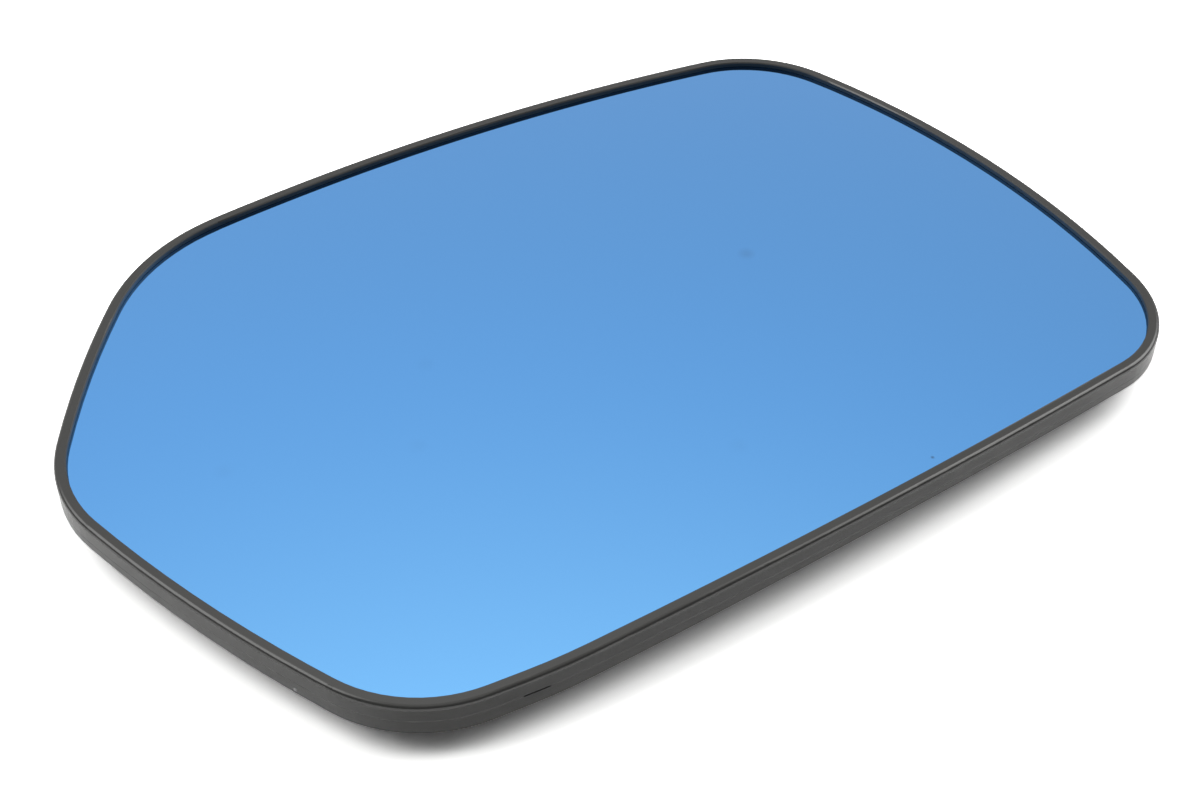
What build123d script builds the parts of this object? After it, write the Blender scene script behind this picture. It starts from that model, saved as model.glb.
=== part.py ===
from build123d import *
import math
import os

# Convex glass of a car door mirror in its moulded holder, lying face up on the collar at its back.
# All sizes are in millimetres. X runs across the mirror, Y up its height and Z out of its face.
# Seen from the face, the outer side is at the left and the corner by the door is cut off.

# Overall size of the outline
LENGTH = 190.0
HEIGHT = 130.0

# Corners of the outline before rounding, placed by their share of the overall size
TOP_OUTER = (-0.476 * LENGTH, 0.4715 * HEIGHT)
LOW_OUTER = (-0.419 * LENGTH, -0.3915 * HEIGHT)
LOW_INNER = (0.287 * LENGTH, -0.499 * HEIGHT)
MID_INNER = (0.507 * LENGTH, -0.139 * HEIGHT)
TOP_INNER = (0.3863 * LENGTH, 0.4508 * HEIGHT)

# The top side turns down a little before it reaches its inner corner
SHOULDER_RUN = 26.0
SHOULDER_RISE = 4.5
TOP_SHOULDER = (TOP_INNER[0] - SHOULDER_RUN, TOP_INNER[1] + SHOULDER_RISE)

# Rounding of each corner
TOP_OUTER_ROUND = 20.9
LOW_OUTER_ROUND = 24.4
LOW_INNER_ROUND = 38.7
MID_INNER_ROUND = 27.0
TOP_INNER_ROUND = 26.7
TOP_SHOULDER_ROUND = 110.0

# How far each side bows out from the straight line between its corners
OUTER_SIDE_BOW = 9.0
LOWER_SIDE_BOW = 4.0
CUT_SIDE_BOW = 2.4
INNER_SIDE_BOW = 3.25
SHOULDER_BOW = 0.12
TOP_SIDE_BOW = 2.65

# The outline in order: each corner, its rounding and the bow of the side after it
CORNERS = [TOP_OUTER, LOW_OUTER, LOW_INNER, MID_INNER, TOP_INNER, TOP_SHOULDER]
ROUNDS = [
    TOP_OUTER_ROUND,
    LOW_OUTER_ROUND,
    LOW_INNER_ROUND,
    MID_INNER_ROUND,
    TOP_INNER_ROUND,
    TOP_SHOULDER_ROUND,
]
BOWS = [OUTER_SIDE_BOW, LOWER_SIDE_BOW, CUT_SIDE_BOW, INNER_SIDE_BOW, SHOULDER_BOW, TOP_SIDE_BOW]

# Glass and the pad that bonds it
FACE_RADIUS = 1400.0
GLASS_THICKNESS = 2.0
GLASS_EDGE_GAP = 0.15
GLASS_ARRIS = 0.3
PAD_THICKNESS = 0.5
PAD_MARGIN = 4.0

# Lip and wall of the holder
LIP_WIDTH = 2.2
LIP_HEIGHT = 0.95
LIP_OUTER_ROUND = 0.7
LIP_INNER_BEVEL = 0.2
WALL_THICKNESS = 1.4
WALL_BEHIND_FLOOR = 0.75
WALL_DRAFT_DEG = 1.5
WALL_FOOT_BEVEL = 0.3

# The wall deepens towards the upper inner corner: where that starts, which way it goes and how steeply
LEAN_START = 44.7
LEAN_TOWARDS_DEG = 59.0
LEAN_DEG = 1.9

# Nick in the wall of the upper side
NICK_X = 51.8
NICK_LENGTH = 4.6
NICK_DEPTH = 3.3
NICK_WIDTH = 0.35
NICK_INSET = 0.7

# Floor of the holder and the low ribs on its back
FLOOR_THICKNESS = 1.1
RIB_THICKNESS = 1.2
RIB_SETBACK = 0.15
RIB_COUNT = 8
RING_RIB_INSET = 20.0

# Collar that presses onto the adjuster, with four sprung tongues
COLLAR_BORE_RADIUS = 29.0
COLLAR_WALL = 2.2
COLLAR_HEIGHT = 10.0
COLLAR_LEAD_IN = 0.6
SEAT_STEP = 1.0
TONGUE_COUNT = 4
TONGUE_WIDTH = 17.0
SLIT_WIDTH = 1.2
SLIT_HEIGHT = 7.0
WINDOW_WIDTH = 7.0
WINDOW_HEIGHT = 2.5
WINDOW_HEM = 2.8
GUSSET_REACH = 20.0
GUSSET_HEIGHT = 6.5

# Depths below the front of the lip, all following the curve of the glass
GLASS_FRONT = LIP_HEIGHT
GLASS_BACK = GLASS_FRONT + GLASS_THICKNESS
FLOOR_FRONT = GLASS_BACK + PAD_THICKNESS
FLOOR_BACK = FLOOR_FRONT + FLOOR_THICKNESS
FLOOR_MIDDLE = FLOOR_FRONT + FLOOR_THICKNESS / 2
WALL_FOOT = FLOOR_BACK + WALL_BEHIND_FLOOR
RIB_BACK = WALL_FOOT - RIB_SETBACK

# Heights above the surface that the collar stands on
FLOOR_BACK_Z = COLLAR_HEIGHT
SEAT_Z = FLOOR_BACK_Z - SEAT_STEP
LIP_TOP_Z = FLOOR_BACK_Z + FLOOR_BACK

# The front of the lip and the front of the glass curve about one point
LIP_RADIUS = FACE_RADIUS + LIP_HEIGHT
CURVE_CENTRE_Z = LIP_TOP_Z - LIP_RADIUS

COLLAR_OUTER_RADIUS = COLLAR_BORE_RADIUS + COLLAR_WALL

# Spokes stand halfway between the tongues
HALF_STEP_DEG = 180 / RIB_COUNT

# How far a cutting shape runs past what it cuts
OVERRUN = 1.0


def side_disc(start, end, bow, inset):
    """Disc whose rim follows one bowed side, drawn in by the inset, with its seam away from the side."""
    chord = Vector(*end) - Vector(*start)
    half = chord.length / 2
    radius = (half**2 + bow**2) / (2 * bow)
    inward = Vector(-chord.Y, chord.X).normalized()
    centre = Vector(*start) + chord / 2 + inward * (radius - bow)
    seam_deg = math.degrees(math.atan2(inward.Y, inward.X))
    return Pos(centre) * Rot(0, 0, seam_deg) * Circle(radius - inset)


def outline_at(inset):
    """The outline drawn in by the inset, where the corners' own coordinates put it."""
    ends = CORNERS[1:] + CORNERS[:1]
    discs = [side_disc(start, end, bow, inset) for start, end, bow in zip(CORNERS, ends, BOWS)]
    face = discs[0]
    for disc in discs[1:]:
        face &= disc
    for corner, radius in zip(CORNERS, ROUNDS):
        if radius > inset:
            vertex = face.vertices().sort_by_distance(corner)[0]
            face = fillet(vertex, radius - inset)
    return face


CENTRING = -outline_at(0).bounding_box().center()

# Longer than the outline in any direction
FAR_REACH = outline_at(0).bounding_box().diagonal


def outline(inset):
    """Flat face with the holder's outline drawn in by the inset, centred on the frame."""
    return Pos(CENTRING) * outline_at(inset)


def prism(inset):
    """Upright block whose sides stand this far inside the outline."""
    return extrude(Pos(0, 0, -OVERRUN) * outline(inset), amount=LIP_TOP_Z + 3 * OVERRUN)


def ball(depth):
    """Ball whose surface lies this far below the front of the lip."""
    return Pos(0, 0, CURVE_CENTRE_Z) * Sphere(LIP_RADIUS - depth, rotation=(90, 0, 0))


def slab(inset, front, back):
    """Curved sheet between two depths, with its edge this far inside the outline."""
    return (prism(inset) & ball(front)) - ball(back)


def dome_height(depth, reach):
    """Height of the surface at a depth below the lip, at a distance from the collar's axis."""
    radius = LIP_RADIUS - depth
    return CURVE_CENTRE_Z + math.sqrt(radius**2 - reach**2)


# The collar and its seat end inside the floor
COLLAR_TOP_Z = dome_height(FLOOR_MIDDLE, COLLAR_OUTER_RADIUS)


def front_face(body):
    """The curved face that looks out of the mirror's front."""
    return body.faces().sort_by(Axis.Z)[-1]


def back_face(body):
    """The lowest of the curved faces."""
    return body.faces().sort_by(Axis.Z).filter_by(GeomType.SPHERE)[0]


def mirror_glass():
    """The pane, with its ground edge tucked under the lip."""
    pane = slab(WALL_THICKNESS + GLASS_EDGE_GAP, GLASS_FRONT, GLASS_BACK)
    edges = front_face(pane).edges() + back_face(pane).edges()
    return chamfer(edges, GLASS_ARRIS)


def bonding_pad():
    """The foam sheet between the glass and the floor of the holder."""
    return slab(WALL_THICKNESS + PAD_MARGIN, GLASS_BACK, FLOOR_FRONT)


def leaning_ball():
    """The ball under the foot of the wall, leaned about a level line so that it drops towards one corner."""
    towards = Vector(1, 0, 0).rotate(Axis.Z, LEAN_TOWARDS_DEG)
    start = towards * LEAN_START + Vector(0, 0, dome_height(WALL_FOOT, LEAN_START))
    return ball(WALL_FOOT).rotate(Axis(start, Axis.Z.direction.cross(towards)), LEAN_DEG)


def outer_block():
    """The outside of the holder: drafted wall, curved front and back, rounded edges."""
    draft = LIP_TOP_Z * math.tan(math.radians(WALL_DRAFT_DEG))
    drafted = loft([outline(draft), Pos(0, 0, LIP_TOP_Z) * outline(0)], ruled=True)
    block = (drafted & ball(0)) - (ball(WALL_FOOT) & leaning_ball())
    block = fillet(front_face(block).edges(), LIP_OUTER_ROUND)
    level, leaning = block.faces().filter_by(GeomType.SPHERE).sort_by(Axis.Z)[:2]
    foot = (level.edges() - leaning.edges()) + (leaning.edges() - level.edges())
    return chamfer(foot, WALL_FOOT_BEVEL)


def tray():
    """The outside opened at the lip, then hollowed for the glass and pad and behind the floor."""
    body = outer_block() - slab(LIP_WIDTH, -OVERRUN, GLASS_BACK)
    inner_edge = front_face(body).inner_wires()[0].edges()
    body = chamfer(inner_edge, LIP_INNER_BEVEL)
    body -= slab(WALL_THICKNESS, GLASS_FRONT, FLOOR_FRONT)
    return body - (prism(WALL_THICKNESS) & ball(FLOOR_BACK))


def nick():
    """The short slit in the wall of the upper side."""
    stretch = Box(NICK_LENGTH, FAR_REACH, FAR_REACH, align=(Align.CENTER, Align.MIN, Align.CENTER))
    groove = slab(-OVERRUN, NICK_DEPTH, NICK_DEPTH + NICK_WIDTH) - prism(NICK_INSET)
    return groove & Pos(NICK_X, 0, 0) * stretch


def around(piece, count, first_deg=0.0):
    """The piece repeated at equal angles about the collar's axis."""
    return [Rot(0, 0, first_deg + 360 / count * k) * piece for k in range(count)]


def low_ribs():
    """Ribs on the back of the floor: spokes out to the wall and one that runs along the outline."""
    outwards = (Align.MIN, Align.CENTER, Align.MIN)
    spoke = Pos(COLLAR_OUTER_RADIUS, 0, 0) * Box(FAR_REACH, RIB_THICKNESS, LIP_TOP_Z, align=outwards)
    spokes = Part() + around(spoke, RIB_COUNT, HALF_STEP_DEG)
    ring = prism(RING_RIB_INSET) - prism(RING_RIB_INSET + RIB_THICKNESS)
    return (spokes + ring) & slab(WALL_THICKNESS / 2, FLOOR_MIDDLE, RIB_BACK)


def gussets():
    """Three-cornered webs that brace the collar against the floor."""
    foot = COLLAR_BORE_RADIUS + COLLAR_WALL / 2
    reach = COLLAR_OUTER_RADIUS + GUSSET_REACH
    low = FLOOR_BACK_Z - GUSSET_HEIGHT
    tip = (reach, dome_height(FLOOR_MIDDLE, reach))
    corners = [(foot, low), (COLLAR_OUTER_RADIUS, low), tip, (foot, COLLAR_TOP_Z)]
    web = extrude(Plane.XZ * make_face(Polyline(corners, close=True)), RIB_THICKNESS / 2, both=True)
    return around(web, RIB_COUNT, HALF_STEP_DEG)


def collar():
    """Ring with a plain bore, a lead-in at its mouth and four tongues, each with a catch window."""
    upright = (Align.CENTER, Align.CENTER, Align.MIN)
    ring = Cylinder(COLLAR_OUTER_RADIUS, COLLAR_TOP_Z, align=upright)
    ring -= Cylinder(COLLAR_BORE_RADIUS, COLLAR_TOP_Z, align=upright)
    mouth = ring.edges().group_by(Axis.Z)[0].sort_by(SortBy.RADIUS)[0]
    ring = chamfer(mouth, COLLAR_LEAD_IN)
    across = COLLAR_WALL + 2 * OVERRUN
    middle = COLLAR_BORE_RADIUS + COLLAR_WALL / 2
    slit = Box(across, SLIT_WIDTH, SLIT_HEIGHT, align=upright)
    window = Pos(0, 0, WINDOW_HEM) * Box(across, WINDOW_WIDTH, WINDOW_HEIGHT, align=upright)
    side = (TONGUE_WIDTH + SLIT_WIDTH) / 2
    cuts = Pos(middle, 0, 0) * (Pos(0, side, 0) * slit + Pos(0, -side, 0) * slit + window)
    return ring - around(cuts, TONGUE_COUNT)


def seat():
    """Flat disc inside the collar that the adjuster bears on."""
    height = COLLAR_TOP_Z - SEAT_Z
    radius = COLLAR_BORE_RADIUS + COLLAR_WALL / 2
    return Pos(0, 0, SEAT_Z) * Cylinder(radius, height, align=(Align.CENTER, Align.CENTER, Align.MIN))


def backing_plate():
    """The whole moulding."""
    back = low_ribs() + collar() + seat() + gussets()
    return tray() - nick() + back


os.makedirs("parts", exist_ok=True)
export_step(mirror_glass(), "parts/mirror_glass.step")
export_step(bonding_pad(), "parts/bonding_pad.step")
export_step(backing_plate(), "parts/backing_plate.step")
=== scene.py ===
import math

import bpy
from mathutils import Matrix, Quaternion, Vector
from mathutils.geometry import convex_hull_2d


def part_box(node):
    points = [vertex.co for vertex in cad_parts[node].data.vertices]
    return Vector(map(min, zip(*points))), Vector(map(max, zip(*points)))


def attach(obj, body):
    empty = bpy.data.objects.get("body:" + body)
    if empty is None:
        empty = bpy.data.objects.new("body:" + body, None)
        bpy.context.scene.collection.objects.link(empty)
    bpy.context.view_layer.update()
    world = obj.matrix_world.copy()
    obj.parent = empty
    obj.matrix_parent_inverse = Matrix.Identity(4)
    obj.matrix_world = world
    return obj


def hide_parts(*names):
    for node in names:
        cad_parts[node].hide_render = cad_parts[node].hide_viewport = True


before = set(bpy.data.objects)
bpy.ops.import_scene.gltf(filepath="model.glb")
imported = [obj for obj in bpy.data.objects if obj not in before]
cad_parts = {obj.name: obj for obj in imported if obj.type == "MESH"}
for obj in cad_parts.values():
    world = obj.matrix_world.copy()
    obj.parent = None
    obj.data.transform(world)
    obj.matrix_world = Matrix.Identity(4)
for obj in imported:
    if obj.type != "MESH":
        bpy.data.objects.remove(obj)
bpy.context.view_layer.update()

# A convex door mirror glass in its dark moulded holder, lying face up.
# All sizes are in metres, in the part's own frame: X across the mirror, Y up its height, Z out of its face.

glass_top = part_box("mirror_glass")[1].z

# Camera of the photograph
CAMERA_PLACE = (0.18358, 0.26203, 0.29625)
CAMERA_AIM = (0.00808, 0.01682, 0.012)
CAMERA_ROLL_DEG = 0.665
LENS_MM = 72.0
SENSOR_MM = 36.0

# Room behind the mirror: its level at the horizon, how much brighter it is overhead, how late that rise
# comes, and how much brighter it is to the camera's left than straight behind
ROOM_LEVEL = 0.743
ROOM_RISE = 2.78
ROOM_RISE_POWER = 7.0
ROOM_LEAN = 0.14
ROOM_LOW_COLOUR = (1.0, 1.0, 1.02, 1.0)
ROOM_HIGH_COLOUR = (1.0, 1.0, 0.98, 1.0)

# The room darkens towards the camera: where that starts and ends, and what is left there of the light and
# of what mirrors show
DARK_START = -0.44
DARK_END = -0.24
DARK_SHARE = 0.11
DARK_SHARE_IN_MIRRORS = 0.4

# Two round lamps, far off, that fade from their middle to their edge: their bearing from the X axis,
# their height angle, how far their edge is from their middle, and their brightness
LEFT_LAMP = {"bearing": -43.0, "height": 49.0, "reach": 30.0, "brightness": 3.5}
RIGHT_LAMP = {"bearing": 171.0, "height": 41.0, "reach": 30.0, "brightness": 4.0}

# Floor: its half size, and its grey for the light it throws, in mirrors and in view
FLOOR_HALF_SIZE = 6.0
FLOOR_COLOUR = 0.9
FLOOR_COLOUR_IN_MIRRORS = 1.45
FLOOR_COLOUR_IN_VIEW = 2.4

# Pane: the curve of its face, the thickness and ground edge of the glass, and the fineness of its mesh
FACE_RADIUS = 1.4
GLASS_THICKNESS = 0.002
GLASS_ARRIS = 0.0003
RIM_STEPS = 288
RINGS = 40
SHARP_EDGE_DEG = 25.0
SEAM_GAP = 0.000001

# Blue coating behind a polished front: its colour at a slanted and at a steep look, the slants between which
# the one turns into the other, from 0 for straight on to 1 for edge on, and the polish
COATING_SLANTED = (0.088, 0.362, 0.835, 1.0)
COATING_STEEP = (0.112, 0.366, 0.71, 1.0)
SLANTED_FROM = 0.34
STEEP_FROM = 0.16
COATING_ROUGHNESS = 0.04
COATING_HAZE = 0.02
HAZE_SCALE = 18.0
HAZE_DETAIL = 2.0
FRONT_ROUGHNESS = 0.05
FRONT_IOR = 1.5

# Marks on the glass, a smudge, a dark speck and four faint smudges: their middle, reach and darkness
BLACK = (0.0, 0.0, 0.0, 1.0)
GLASS_MARKS = [
    {"middle": (-0.0360, 0.0010, 0.0131), "reach": 0.0022, "darkness": 0.14},
    {"middle": (-0.0300, 0.0602, 0.0120), "reach": 0.0005, "darkness": 0.6},
    {"middle": (-0.0042, 0.0402, 0.0130), "reach": 0.0025, "darkness": 0.03},
    {"middle": (0.0287, -0.0068, 0.0133), "reach": 0.0025, "darkness": 0.03},
    {"middle": (0.0403, 0.0094, 0.0130), "reach": 0.0025, "darkness": 0.03},
    {"middle": (0.0698, -0.0048, 0.0118), "reach": 0.0025, "darkness": 0.03},
]

# Plastic: its mottled colour, its satin gloss and its fine grain
PLASTIC_DARK = (0.025, 0.025, 0.024, 1.0)
PLASTIC_PALE = (0.030, 0.030, 0.028, 1.0)
PLASTIC_IOR = 1.55
MOTTLE_SCALE = 140.0
MOTTLE_DETAIL = 4.0
SATIN_ROUGHNESS = 0.12
SATIN_MOTTLE = 0.05
GRAIN_SCALE = 5200.0
GRAIN_DETAIL = 2.0
GRAIN_STRENGTH = 0.12
GRAIN_DEPTH = 0.00002

# Inner wall of the lip, in the crease beside the glass: its roughness, and how far a face turns towards the
# middle of the part to count as that wall
CREASE_ROUGHNESS = 0.55
INWARD_TURN = -0.5

# Outer wall, by its depth below the curve of the lip's front: how far the lip stands above the glass,
# where the wall starts below its rounded edge, and how much its shading leans under
LIP_HEIGHT = 0.00095
WALL_START = 0.0008
WALL_LEAN = 0.4

# Parting line of the mould round the wall
PARTING_DEPTH = 0.0033
PARTING_HALF_WIDTH = 0.00016
PARTING_GROOVE = 0.00009

# Pale speck at the wall's foot
SPECK_PLACE = (0.0817, 0.0388, 0.0064)
SPECK_REACH = 0.0006
SPECK_COLOUR = (0.45, 0.45, 0.46, 1.0)

# Foam of the pad
FOAM_DARK = (0.03, 0.03, 0.03, 1.0)
FOAM_PALE = (0.07, 0.07, 0.07, 1.0)
FOAM_ROUGHNESS = 0.9
CELL_SCALE = 2500.0
CELL_STRENGTH = 0.5
CELL_DEPTH = 0.0001

# Places of the two colours among the inputs of a Mix node, and of the mixed colour among its outputs
MIX_FIRST = 6
MIX_SECOND = 7
MIX_RESULT = 2


class Wire:
    """One socket of a node tree. Sums of wires, written in Python, add the Math nodes that work them out."""

    def __init__(self, tree, socket=None):
        self.tree = tree
        self.socket = socket

    def add(self, kind, settings=None, sockets=None, out=0):
        """Adds a node: its settings first, then the values or links of its sockets."""
        node = self.tree.nodes.new(kind)
        for name, value in (settings or {}).items():
            setattr(node, name, value)
        for name, value in (sockets or {}).items():
            if isinstance(value, Wire):
                self.tree.links.new(value.socket, node.inputs[name])
            else:
                node.inputs[name].default_value = value
        return Wire(self.tree, node.outputs[out] if node.outputs else None)

    def other(self, name):
        """Another output of the same node."""
        return Wire(self.tree, self.socket.node.outputs[name])

    def math(self, operation, *terms):
        """A Math node on any number of terms."""
        return self.add("ShaderNodeMath", {"operation": operation}, dict(enumerate(terms)))

    def ramp(self, start, end, first, last):
        """Goes smoothly from the first value to the last as the wire goes from start to end."""
        sockets = {"Value": self, "From Min": start, "From Max": end, "To Min": first, "To Max": last}
        return self.add("ShaderNodeMapRange", {"interpolation_type": "SMOOTHSTEP"}, sockets)

    def distance(self, point):
        """How far a place is from a point."""
        sockets = {0: self, 1: point}
        return self.add("ShaderNodeVectorMath", {"operation": "DISTANCE"}, sockets, out="Value")

    def dot(self, direction):
        """How far a direction points along another."""
        sockets = {0: self, 1: direction}
        return self.add("ShaderNodeVectorMath", {"operation": "DOT_PRODUCT"}, sockets, out="Value")

    def __add__(self, term):
        return self.math("ADD", self, term)

    def __sub__(self, term):
        return self.math("SUBTRACT", self, term)

    def __rsub__(self, term):
        return self.math("SUBTRACT", term, self)

    def __mul__(self, term):
        return self.math("MULTIPLY", self, term)

    def __truediv__(self, term):
        return self.math("DIVIDE", self, term)

    def __pow__(self, term):
        return self.math("POWER", self, term)

    def __lt__(self, term):
        return self.math("LESS_THAN", self, term)

    def __gt__(self, term):
        return self.math("GREATER_THAN", self, term)

    __radd__ = __add__
    __rmul__ = __mul__


def new_material(name):
    """An empty node material and the wire that starts its tree."""
    material = bpy.data.materials.new(name)
    material.use_nodes = True
    material.node_tree.nodes.clear()
    return material, Wire(material.node_tree)


def close_material(start, shader):
    """Links the finished shader to the material's output."""
    start.add("ShaderNodeOutputMaterial", sockets={"Surface": shader})


def mix_colours(share, first, second):
    """A colour that goes from the first to the second as the share goes from 0 to 1."""
    sockets = {"Factor": share, MIX_FIRST: first, MIX_SECOND: second}
    return share.add("ShaderNodeMix", {"data_type": "RGBA"}, sockets, out=MIX_RESULT)


def blue_mirror():
    """Blue reflecting coating under a polished front; its blue shifts with the slant of view."""
    material, start = new_material("blue_mirror")
    place = start.add("ShaderNodeTexCoord", out="Object")
    noise = {"Vector": place, "Scale": HAZE_SCALE, "Detail": HAZE_DETAIL}
    haze = place.add("ShaderNodeTexNoise", sockets=noise)
    slant = start.add("ShaderNodeLayerWeight", sockets={"Blend": 0.5}, out="Facing")
    coating = mix_colours(slant.ramp(SLANTED_FROM, STEEP_FROM, 0.0, 1.0), COATING_SLANTED, COATING_STEEP)
    for mark in GLASS_MARKS:
        cover = place.distance(mark["middle"]).ramp(mark["reach"], 0.0, 0.0, mark["darkness"])
        coating = mix_colours(cover, coating, BLACK)
    shader = start.add("ShaderNodeBsdfPrincipled", sockets={
        "Base Color": coating,
        "Metallic": 1.0,
        "Roughness": COATING_ROUGHNESS + COATING_HAZE * haze,
        "Coat Weight": 1.0,
        "Coat Roughness": FRONT_ROUGHNESS,
        "Coat IOR": FRONT_IOR,
    })
    close_material(start, shader)
    return material


def dark_plastic():
    """Satin black moulding with a fine grain, a parting line round its wall and a pale speck."""
    material, start = new_material("dark_plastic")
    place = start.add("ShaderNodeTexCoord", out="Object")
    coarse = {"Vector": place, "Scale": MOTTLE_SCALE, "Detail": MOTTLE_DETAIL}
    mottle = place.add("ShaderNodeTexNoise", sockets=coarse)
    fine = {"Vector": place, "Scale": GRAIN_SCALE, "Detail": GRAIN_DETAIL}
    grain = place.add("ShaderNodeTexNoise", sockets=fine)
    from_curve_centre = place.distance((0.0, 0.0, glass_top - FACE_RADIUS))
    depth = (FACE_RADIUS + LIP_HEIGHT) - from_curve_centre
    off_parting = depth.math("ABSOLUTE", depth - PARTING_DEPTH)
    groove = off_parting.ramp(0.0, PARTING_HALF_WIDTH, PARTING_GROOVE, 0.0)
    lean = WALL_LEAN * depth.math("MAXIMUM", depth - WALL_START, 0.0)
    relief = 0.0 - groove - lean
    outwards = place.add("ShaderNodeVectorMath", {"operation": "NORMALIZE"}, {0: place})
    inner_wall = (place.other("Normal").dot(outwards) < INWARD_TURN) * (from_curve_centre > FACE_RADIUS)
    colour = mix_colours(mottle, PLASTIC_DARK, PLASTIC_PALE)
    speck = place.distance(SPECK_PLACE).ramp(SPECK_REACH, 0.0, 0.0, 1.0)
    colour = mix_colours(speck, colour, SPECK_COLOUR)
    texture = {"Strength": GRAIN_STRENGTH, "Distance": GRAIN_DEPTH, "Height": grain}
    bump = grain.add("ShaderNodeBump", sockets=texture)
    shape = {"Strength": 1.0, "Distance": 1.0, "Height": relief, "Normal": bump}
    bump = relief.add("ShaderNodeBump", sockets=shape)
    satin = SATIN_ROUGHNESS + SATIN_MOTTLE * mottle
    shader = start.add("ShaderNodeBsdfPrincipled", sockets={
        "Base Color": colour,
        "Roughness": satin + (CREASE_ROUGHNESS - satin) * inner_wall,
        "IOR": PLASTIC_IOR,
        "Normal": bump,
    })
    close_material(start, shader)
    return material


def pad_foam():
    """Black closed-cell foam."""
    material, start = new_material("pad_foam")
    place = start.add("ShaderNodeTexCoord", out="Object")
    cells = place.add("ShaderNodeTexVoronoi", sockets={"Vector": place, "Scale": CELL_SCALE})
    texture = {"Strength": CELL_STRENGTH, "Distance": CELL_DEPTH, "Height": cells}
    bump = cells.add("ShaderNodeBump", sockets=texture)
    shader = start.add("ShaderNodeBsdfPrincipled", sockets={
        "Base Color": mix_colours(cells, FOAM_DARK, FOAM_PALE),
        "Roughness": FOAM_ROUGHNESS,
        "Normal": bump,
    })
    close_material(start, shader)
    return material


# Sizes that the pane's nodes take, and their kinds
PANE_INPUTS = {
    "Rim steps": "NodeSocketInt",
    "Rings": "NodeSocketInt",
    "Face radius": "NodeSocketFloat",
    "Face top": "NodeSocketFloat",
    "Thickness": "NodeSocketFloat",
    "Arris": "NodeSocketFloat",
}


def pane_tree(material):
    """Nodes that grow the pane from its outline: rings over the front, down the edge and over the back."""
    tree = bpy.data.node_groups.new("pane_from_outline", "GeometryNodeTree")
    tree.interface.new_socket("Outline", in_out="INPUT", socket_type="NodeSocketGeometry")
    for name, kind in PANE_INPUTS.items():
        tree.interface.new_socket(name, in_out="INPUT", socket_type=kind)
    tree.interface.new_socket("Pane", in_out="OUTPUT", socket_type="NodeSocketGeometry")
    given = Wire(tree).add("NodeGroupInput", out="Outline")
    steps, rings = given.other("Rim steps"), given.other("Rings")
    radius, top = given.other("Face radius"), given.other("Face top")
    thickness, arris = given.other("Thickness"), given.other("Arris")

    # Rings in order: the front's from its middle outwards, two round the edge, then the back's inwards
    last_ring = 2 * rings + 1
    grid = given.add("GeometryNodeMeshGrid", sockets={"Vertices X": steps + 1, "Vertices Y": last_ring + 1})
    across = given.add("ShaderNodeSeparateXYZ", sockets={0: grid.other("UV Map")})
    ring = across.other("Y") * last_ring
    front = ring < rings - 0.5
    back = ring > rings + 1.5
    edge = 1 - front - back
    upper_edge = edge * (ring < rings + 0.5)
    share = front * ring / (rings - 1) + edge + back * (last_ring - ring) / (rings - 1)
    depth = upper_edge * arris + (edge - upper_edge) * (thickness - arris) + back * thickness

    # Place on the rim, drawn in on front and back for the ground edge, and the height of the curve there
    along = {"Curves": given, "Factor": across}
    whole = {"mode": "FACTOR", "use_all_curves": True}
    on_rim = given.add("GeometryNodeSampleCurve", whole, along, out="Position")
    rim = on_rim.add("ShaderNodeSeparateXYZ", sockets={0: on_rim})
    reach = (rim * rim + rim.other("Y") * rim.other("Y")) ** 0.5
    scale = share * (1 - (front + back) * arris / reach)
    x, y = rim * scale, rim.other("Y") * scale
    ball = radius - depth
    z = top - radius + (ball * ball - x * x - y * y) ** 0.5

    # Rings put in place, sewn up and smoothed, with the ground edges left sharp
    place = x.add("ShaderNodeCombineXYZ", sockets={"X": x, "Y": y, "Z": z})
    shell = grid.add("GeometryNodeSetPosition", sockets={"Geometry": grid, "Position": place})
    shell = shell.add("GeometryNodeMergeByDistance", sockets={"Geometry": shell, "Distance": SEAM_GAP})
    shell = shell.add("GeometryNodeFlipFaces", sockets={"Mesh": shell})
    turn = shell.add("GeometryNodeInputMeshEdgeAngle")
    limit = math.radians(SHARP_EDGE_DEG)
    sharp = turn.add("FunctionNodeCompare", {"operation": "GREATER_THAN"}, {0: turn, 1: limit})
    smooth = {"Geometry": shell, "Shade Smooth": True}
    shell = shell.add("GeometryNodeSetShadeSmooth", {"domain": "FACE"}, smooth)
    keep = {"Geometry": shell, "Selection": sharp, "Shade Smooth": False}
    shell = shell.add("GeometryNodeSetShadeSmooth", {"domain": "EDGE"}, keep)
    shell = shell.add("GeometryNodeRealizeInstances", sockets={"Geometry": shell})
    shell = shell.add("GeometryNodeSetMaterial", sockets={"Geometry": shell, "Material": material})
    shell.add("NodeGroupOutput", sockets={"Pane": shell})
    return tree


def outline_of(node):
    """Closed curve round the widest reach of a node, seen from the front."""
    corners = [vertex.co.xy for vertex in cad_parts[node].data.vertices]
    hull = [corners[k] for k in convex_hull_2d(corners)]
    curve = bpy.data.curves.new("pane_outline", "CURVE")
    curve.dimensions = "3D"
    spline = curve.splines.new("POLY")
    spline.points.add(len(hull) - 1)
    for point, corner in zip(spline.points, hull):
        point.co = (corner.x, corner.y, 0.0, 1.0)
    spline.use_cyclic_u = True
    return curve


def settle(carrier, name):
    """The mesh that a carrier's nodes make, as a plain piece; the carrier goes."""
    graph = bpy.context.evaluated_depsgraph_get()
    mesh = bpy.data.meshes.new_from_object(carrier.evaluated_get(graph))
    bpy.data.objects.remove(carrier)
    piece = bpy.data.objects.new(name, mesh)
    bpy.context.collection.objects.link(piece)
    return piece


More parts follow.
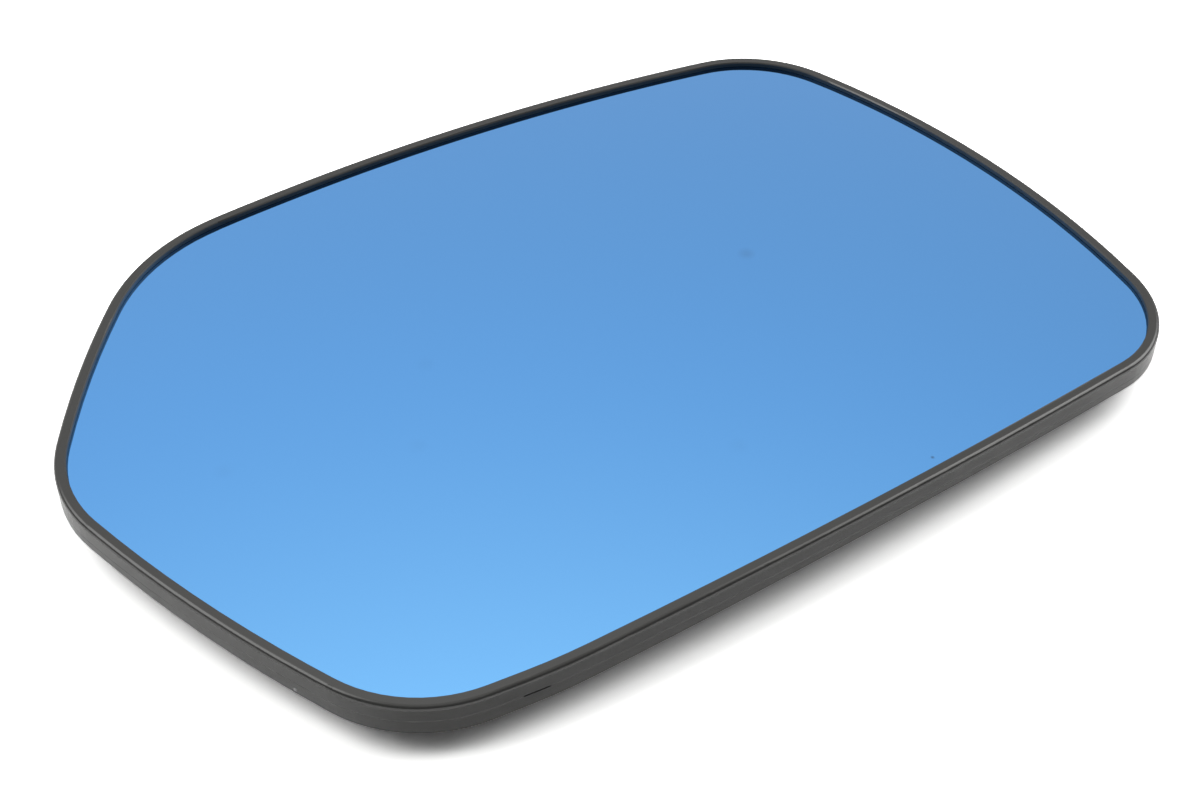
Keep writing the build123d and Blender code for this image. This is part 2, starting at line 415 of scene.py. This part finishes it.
def mirror_pane(material):
    """The glass as one smooth convex pane in place of its coarser solid."""
    sizes = {
        "Rim steps": RIM_STEPS,
        "Rings": RINGS,
        "Face radius": FACE_RADIUS,
        "Face top": glass_top,
        "Thickness": GLASS_THICKNESS,
        "Arris": GLASS_ARRIS,
    }
    carrier = bpy.data.objects.new("pane_carrier", outline_of("mirror_glass"))
    bpy.context.collection.objects.link(carrier)
    modifier = carrier.modifiers.new("pane", "NODES")
    modifier.node_group = pane_tree(material)
    for socket in modifier.node_group.interface.items_tree:
        if socket.name in sizes:
            modifier[socket.identifier] = sizes[socket.name]
    pane = settle(carrier, "mirror_pane")
    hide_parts("mirror_glass")
    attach(pane, "root")


def dress(node, material):
    """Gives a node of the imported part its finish."""
    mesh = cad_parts[node].data
    mesh.materials.clear()
    mesh.materials.append(material)


def seen_in_mirrors(start):
    """1 for what is seen by way of a mirror, gloss or glass, 0 for the rest."""
    glossy = start.add("ShaderNodeLightPath", out="Is Glossy Ray")
    return glossy.math("MAXIMUM", glossy, glossy.other("Is Transmission Ray"))


def floor_material():
    """Pale floor that shows white in view and still takes the shadow."""
    material, start = new_material("studio_floor")
    in_view = start.add("ShaderNodeLightPath", out="Is Camera Ray")
    mirrored = seen_in_mirrors(start)
    level = FLOOR_COLOUR + (FLOOR_COLOUR_IN_VIEW - FLOOR_COLOUR) * in_view
    level = level + (FLOOR_COLOUR_IN_MIRRORS - FLOOR_COLOUR) * mirrored * (1 - in_view)
    colour = level.add("ShaderNodeCombineColor", sockets={"Red": level, "Green": level, "Blue": level})
    close_material(start, start.add("ShaderNodeBsdfDiffuse", sockets={"Color": colour}))
    return material


def studio_floor():
    """One flat square far larger than the view."""
    mesh = bpy.data.meshes.new("studio_floor")
    reach = FLOOR_HALF_SIZE
    corners = [(-reach, -reach, 0), (reach, -reach, 0), (reach, reach, 0), (-reach, reach, 0)]
    mesh.from_pydata(corners, [], [(0, 1, 2, 3)])
    mesh.materials.append(floor_material())
    floor = bpy.data.objects.new("studio_floor", mesh)
    bpy.context.collection.objects.link(floor)


def lamp_glow(direction, bearing, height, reach, brightness):
    """Light of a round lamp that fades towards its edge, for each direction from the mirror."""
    turn = math.radians(bearing)
    lift = math.radians(height)
    middle = Vector((math.cos(lift) * math.cos(turn), math.cos(lift) * math.sin(turn), math.sin(lift)))
    return direction.dot(middle).ramp(math.cos(math.radians(reach)), 1.0, 0.0, brightness)


def room_light():
    """Dim room with two soft lamps: brighter with height behind the mirror, dark towards the camera."""
    world = bpy.data.worlds.new("room_light")
    bpy.context.scene.world = world
    world.use_nodes = True
    world.node_tree.nodes.clear()
    start = Wire(world.node_tree)
    direction = start.add("ShaderNodeTexCoord", out="Generated")
    towards_camera = (Vector(CAMERA_PLACE) - Vector(CAMERA_AIM)).xy.normalized().to_3d()
    leftwards = Vector((towards_camera.y, -towards_camera.x, 0.0))
    height = direction.math("MAXIMUM", direction.dot((0.0, 0.0, 1.0)), 0.0)
    rise = 1 + ROOM_RISE * height**ROOM_RISE_POWER
    lean = 1 + ROOM_LEAN * direction.dot(leftwards)
    darkness = direction.dot(towards_camera).ramp(DARK_START, DARK_END, 0.0, 1.0)
    share = DARK_SHARE + (DARK_SHARE_IN_MIRRORS - DARK_SHARE) * seen_in_mirrors(start)
    shade = 1 - darkness * (1 - share)
    lamps = lamp_glow(direction, **LEFT_LAMP) + lamp_glow(direction, **RIGHT_LAMP)
    light = ROOM_LEVEL * rise * lean * shade + lamps
    colour = mix_colours(height, ROOM_LOW_COLOUR, ROOM_HIGH_COLOUR)
    room = start.add("ShaderNodeBackground", sockets={"Color": colour, "Strength": light})
    start.add("ShaderNodeOutputWorld", sockets={"Surface": room})


def photo_camera():
    """Camera at the photograph's place, aim, roll and lens."""
    lens = bpy.data.cameras.new("photo_camera")
    lens.lens = LENS_MM
    lens.sensor_width = SENSOR_MM
    camera = bpy.data.objects.new("photo_camera", lens)
    bpy.context.collection.objects.link(camera)
    camera.location = CAMERA_PLACE
    facing = (Vector(CAMERA_AIM) - Vector(CAMERA_PLACE)).to_track_quat("-Z", "Y")
    camera.rotation_mode = "QUATERNION"
    camera.rotation_quaternion = facing @ Quaternion((0, 0, 1), math.radians(CAMERA_ROLL_DEG))
    bpy.context.scene.camera = camera


mirror_pane(blue_mirror())
dress("backing_plate", dark_plastic())
dress("bonding_pad", pad_foam())
studio_floor()
room_light()
photo_camera()
bpy.context.scene.view_settings.view_transform = "Standard"
